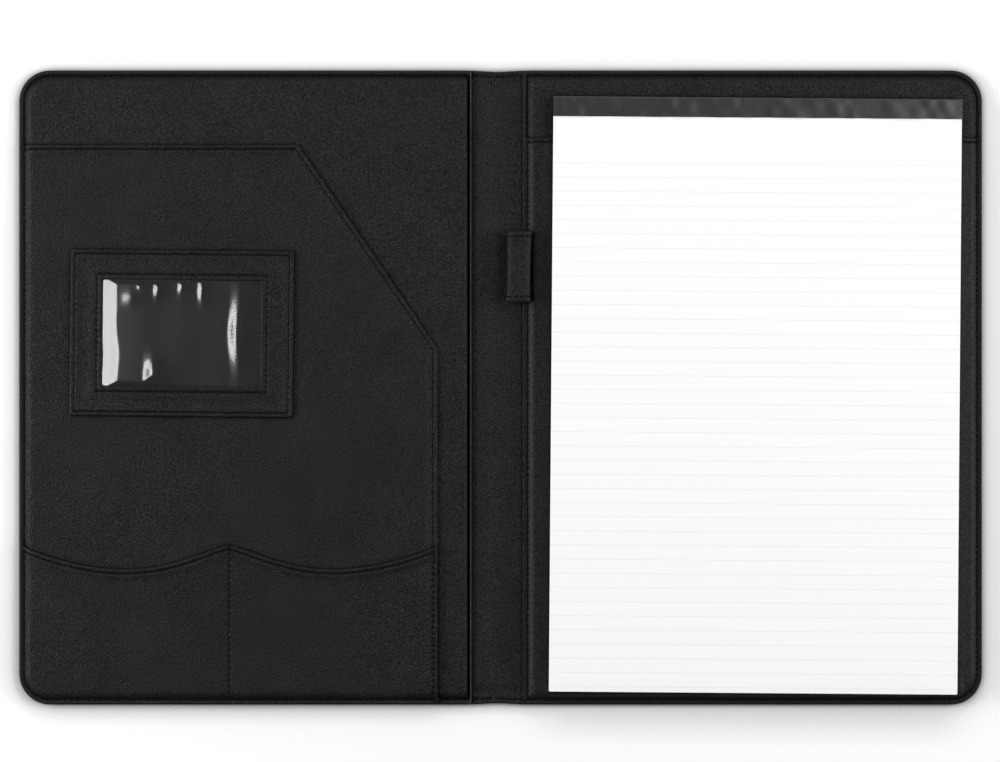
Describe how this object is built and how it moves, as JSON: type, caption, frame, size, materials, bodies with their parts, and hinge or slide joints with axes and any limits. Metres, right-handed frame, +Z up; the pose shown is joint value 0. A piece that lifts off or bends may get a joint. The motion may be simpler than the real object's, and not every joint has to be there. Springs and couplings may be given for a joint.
{
  "type": "document portfolio",
  "caption": "Open document portfolio in black grained leatherette with pockets, a card window, a pen loop and a ruled writing pad.",
  "frame": {"origin": "centre of the open portfolio's footprint, on the table", "axes": "+X from the front cover to the back cover, +Y to the head edge, +Z up from the table"},
  "size_m": [0.498, 0.328, 0.013],
  "materials": {
    "grained_leatherette": "fine grained black leatherette",
    "smooth_lining": "smooth black leatherette",
    "foam": "matt foam sheet",
    "greyboard": "uncoated greyboard",
    "clear_film": "clear glossy film",
    "ruled_paper": "uncoated white paper with faint rules",
    "binding_tape": "glossy black tape"
  },
  "bodies": {
    "back_cover": {"back_outer_skin": "grained_leatherette", "back_foam": "foam", "back_board": "greyboard", "back_lining": "grained_leatherette", "spine_lining_back_edge": "grained_leatherette", "pad_pocket_panel": "smooth_lining", "pen_loop": "grained_leatherette", "pad_backing_card": "greyboard", "pad_sheets": "ruled_paper", "pad_binding_tape": "binding_tape"},
    "spine": {"spine_outer_skin": "grained_leatherette", "spine_lining": "grained_leatherette"},
    "front_cover": {"front_outer_skin": "grained_leatherette", "front_foam": "foam", "front_board": "greyboard", "front_lining": "grained_leatherette", "front_document_pocket": "grained_leatherette", "front_card_pockets": "grained_leatherette", "card_window_frame": "grained_leatherette", "card_window_film": "clear_film"}
  },
  "joints": [
    {"name": "spine_fold", "type": "hinge", "parent": "back_cover", "child": "spine", "pos_m": [0.0024, 0, 0.0035], "axis": [0, 1, 0], "range_deg": [0, 90]},
    {"name": "cover_fold", "type": "hinge", "parent": "spine", "child": "front_cover", "pos_m": [-0.01475, 0, 0.0035], "axis": [0, 1, 0], "range_deg": [0, 90]}
  ]
}
